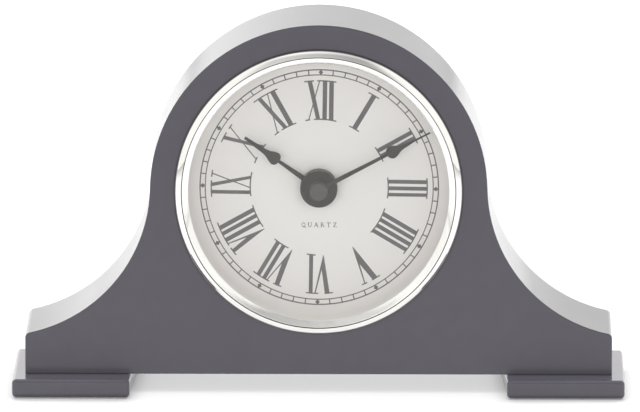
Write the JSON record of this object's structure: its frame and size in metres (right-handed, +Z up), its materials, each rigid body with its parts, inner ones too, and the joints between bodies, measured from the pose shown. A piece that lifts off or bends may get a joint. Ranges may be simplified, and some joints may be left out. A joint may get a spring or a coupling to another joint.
{
  "type": "mantel clock",
  "caption": "Arched mantel clock in grey lacquered wood on block feet, with a chrome bezel, a silvered Roman dial, spade hands and a quartz movement.",
  "frame": {"origin": "centre of the footprint, on the surface the clock stands on", "axes": "+Z up, -Y towards the viewer of the dial, +X to that viewer's right"},
  "size_m": [0.2356, 0.064, 0.1437],
  "materials": {
    "case_lacquer": "satin blue-grey lacquer over fibreboard",
    "zinc_steel": "zinc plated",
    "felt": "felt",
    "chrome_plate": "polished",
    "lens_glass": "clear flat glass",
    "seal_rubber": "matte",
    "dial_silver": "fine brushed, lacquered",
    "black_plastic": "matte",
    "housing_plastic": "fine moulded grain",
    "natural_plastic": "natural acetal",
    "brass": "turned",
    "board_laminate": "green solder resist",
    "copper_wire": "enamelled copper wire",
    "stator_steel": "bare sheet",
    "contact_plate": "nickel plated spring strip",
    "magnet": "sintered",
    "knob_plastic": "moulded",
    "cell_jacket": "printed jacket, no lettering",
    "hand_grey": "satin dark grey",
    "cap_grey": "satin grey"
  },
  "bodies": {
    "clock_case": {"case_body": "case_lacquer", "left_foot": "case_lacquer", "right_foot": "case_lacquer", "foot_screws": "zinc_steel", "foot_pads": "felt", "bezel_ring": "chrome_plate", "lens": "lens_glass", "lens_seal": "seal_rubber", "reflector_ring": "chrome_plate", "dial_plate": "dial_silver", "dial_pan": "black_plastic", "pan_screws": "zinc_steel", "movement_front_housing": "housing_plastic", "movement_rear_housing": "housing_plastic", "movement_plate": "natural_plastic", "threaded_bush": "brass", "sealing_ring": "seal_rubber", "fixing_washer": "brass", "fixing_nut": "brass", "circuit_board": "board_laminate", "control_chip": "black_plastic", "quartz_crystal": "zinc_steel", "coil_bobbin": "natural_plastic", "coil_winding": "copper_wire", "stator": "stator_steel", "positive_contact": "contact_plate", "negative_contact": "contact_plate"},
    "minute_hand_arbor": {"minute_arbor": "natural_plastic", "clutch_washer": "brass", "minute_hand": "hand_grey", "hand_cap": "cap_grey"},
    "centre_wheel": {"centre_wheel": "natural_plastic"},
    "third_wheel": {"third_wheel": "natural_plastic"},
    "seconds_wheel": {"seconds_wheel": "natural_plastic"},
    "intermediate_wheel": {"intermediate_wheel": "natural_plastic"},
    "rotor": {"rotor_magnet": "magnet", "rotor_pinion": "natural_plastic"},
    "motion_wheel": {"motion_wheel": "natural_plastic"},
    "hour_hand_pipe": {"hour_wheel": "natural_plastic", "hour_hand": "hand_grey"},
    "set_knob": {"set_shaft": "natural_plastic", "set_knob": "knob_plastic"},
    "battery": {"battery": "cell_jacket"}
  },
  "joints": [
    {"name": "minute_hand_spin", "type": "hinge", "parent": "clock_case", "child": "minute_hand_arbor", "pos_m": [0, 0.0024, 0.0788], "axis": [0, 1, 0], "continuous": true},
    {"name": "motion_wheel_spin", "type": "hinge", "parent": "clock_case", "child": "motion_wheel", "pos_m": [0.0096, 0.0024, 0.0788], "axis": [0, 1, 0], "continuous": true},
    {"name": "hour_hand_spin", "type": "hinge", "parent": "clock_case", "child": "hour_hand_pipe", "pos_m": [0, 0.0024, 0.0788], "axis": [0, 1, 0], "continuous": true},
    {"name": "set_knob_spin", "type": "hinge", "parent": "clock_case", "child": "set_knob", "pos_m": [0.01895, 0.0024, 0.0842], "axis": [0, 1, 0], "continuous": true},
    {"name": "rotor_spin", "type": "hinge", "parent": "clock_case", "child": "rotor", "pos_m": [0.01188, 0.0024, 0.09034], "axis": [0, 1, 0], "continuous": true},
    {"name": "intermediate_wheel_spin", "type": "hinge", "parent": "clock_case", "child": "intermediate_wheel", "pos_m": [0.00656, 0.0024, 0.08661], "axis": [0, 1, 0], "continuous": true},
    {"name": "seconds_wheel_spin", "type": "hinge", "parent": "clock_case", "child": "seconds_wheel", "pos_m": [0, 0.0024, 0.0788], "axis": [0, 1, 0], "continuous": true},
    {"name": "third_wheel_spin", "type": "hinge", "parent": "clock_case", "child": "third_wheel", "pos_m": [-0.00883, 0.0024, 0.0839], "axis": [0, 1, 0], "continuous": true},
    {"name": "centre_wheel_spin", "type": "hinge", "parent": "clock_case", "child": "centre_wheel", "pos_m": [0, 0.0024, 0.0788], "axis": [0, 1, 0], "continuous": true},
    {"name": "battery_slide", "type": "slide", "parent": "clock_case", "child": "battery", "axis": [0, 1, 0], "range_m": [0, 0.04]}
  ],
  "couplings": [
    {"joint": "motion_wheel_spin", "follows": "minute_hand_spin", "ratio": -0.33333},
    {"joint": "hour_hand_spin", "follows": "minute_hand_spin", "ratio": 0.083333},
    {"joint": "set_knob_spin", "follows": "minute_hand_spin", "ratio": 0.66667},
    {"joint": "intermediate_wheel_spin", "follows": "rotor_spin", "ratio": -0.25},
    {"joint": "seconds_wheel_spin", "follows": "rotor_spin", "ratio": 0.033333},
    {"joint": "third_wheel_spin", "follows": "rotor_spin", "ratio": -0.0044444},
    {"joint": "centre_wheel_spin", "follows": "rotor_spin", "ratio": 0.00055556}
  ]
}
